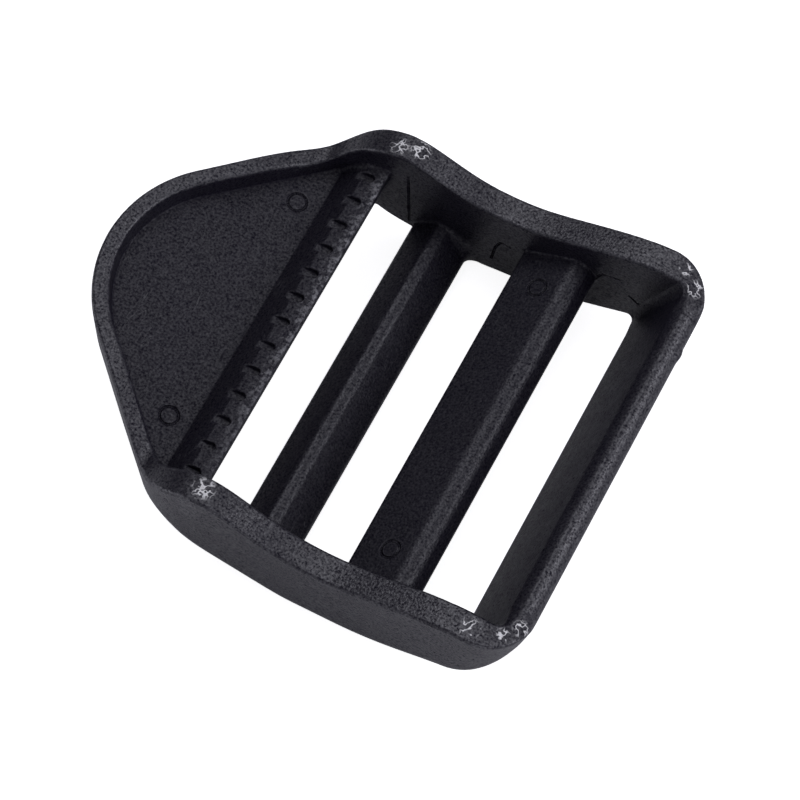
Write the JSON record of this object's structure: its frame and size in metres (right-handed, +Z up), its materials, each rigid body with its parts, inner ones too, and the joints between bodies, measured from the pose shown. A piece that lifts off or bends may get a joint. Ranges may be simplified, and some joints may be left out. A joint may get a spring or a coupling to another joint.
{
  "type": "ladder lock slider",
  "caption": "Moulded ladder-lock slider with a thumb tab, a toothed grip bar and crossbars that hold and adjust a webbing strap.",
  "frame": {"origin": "centre of the outline, on the surface that the smooth side rests on", "axes": "+X from the thumb tab to the end bar, +Y along the crossbars, +Z up out of the toothed side"},
  "size_m": [0.0366, 0.0306, 0.0098],
  "materials": {
    "acetal": "black moulded acetal, fine spark-eroded grain, strongest on the tab plate and the rims"
  },
  "bodies": {
    "root": {"tab_plate": "acetal", "tab_nose_rim": "acetal", "tab_rim_left": "acetal", "tab_rim_right": "acetal", "side_rail_left": "acetal", "side_rail_right": "acetal", "rear_corner_left": "acetal", "rear_corner_right": "acetal", "grip_bar": "acetal", "grip_teeth": "acetal", "front_crossbar": "acetal", "centre_crossbar": "acetal", "end_bar": "acetal"}
  },
  "joints": []
}
